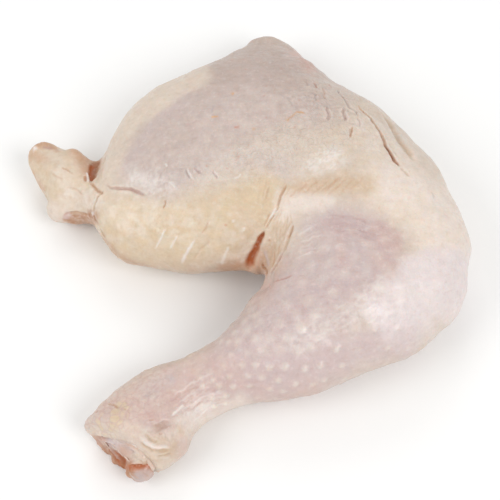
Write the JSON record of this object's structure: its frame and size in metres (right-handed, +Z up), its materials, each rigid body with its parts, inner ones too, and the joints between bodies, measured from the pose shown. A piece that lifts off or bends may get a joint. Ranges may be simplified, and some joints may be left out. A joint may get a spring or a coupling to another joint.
{
  "type": "raw chicken leg",
  "caption": "Whole raw chicken leg with skin on, thigh and drumstick folded at the knee and lying on its side, hock cut off.",
  "frame": {"origin": "centre of the leg's own box, on the surface it lies on", "axes": "+Z up; +X towards the bent knee; +Y towards the far corner of the thigh, so the cut hock points to -X and -Y"},
  "size_m": [0.1506, 0.1716, 0.0408],
  "materials": {
    "skin": "moist pale skin, cream to lavender pink, softly glossy",
    "bone": "wet grey-pink cartilage, glossy"
  },
  "bodies": {
    "root": {"leg": "skin", "hock_bone": "bone"}
  },
  "joints": []
}
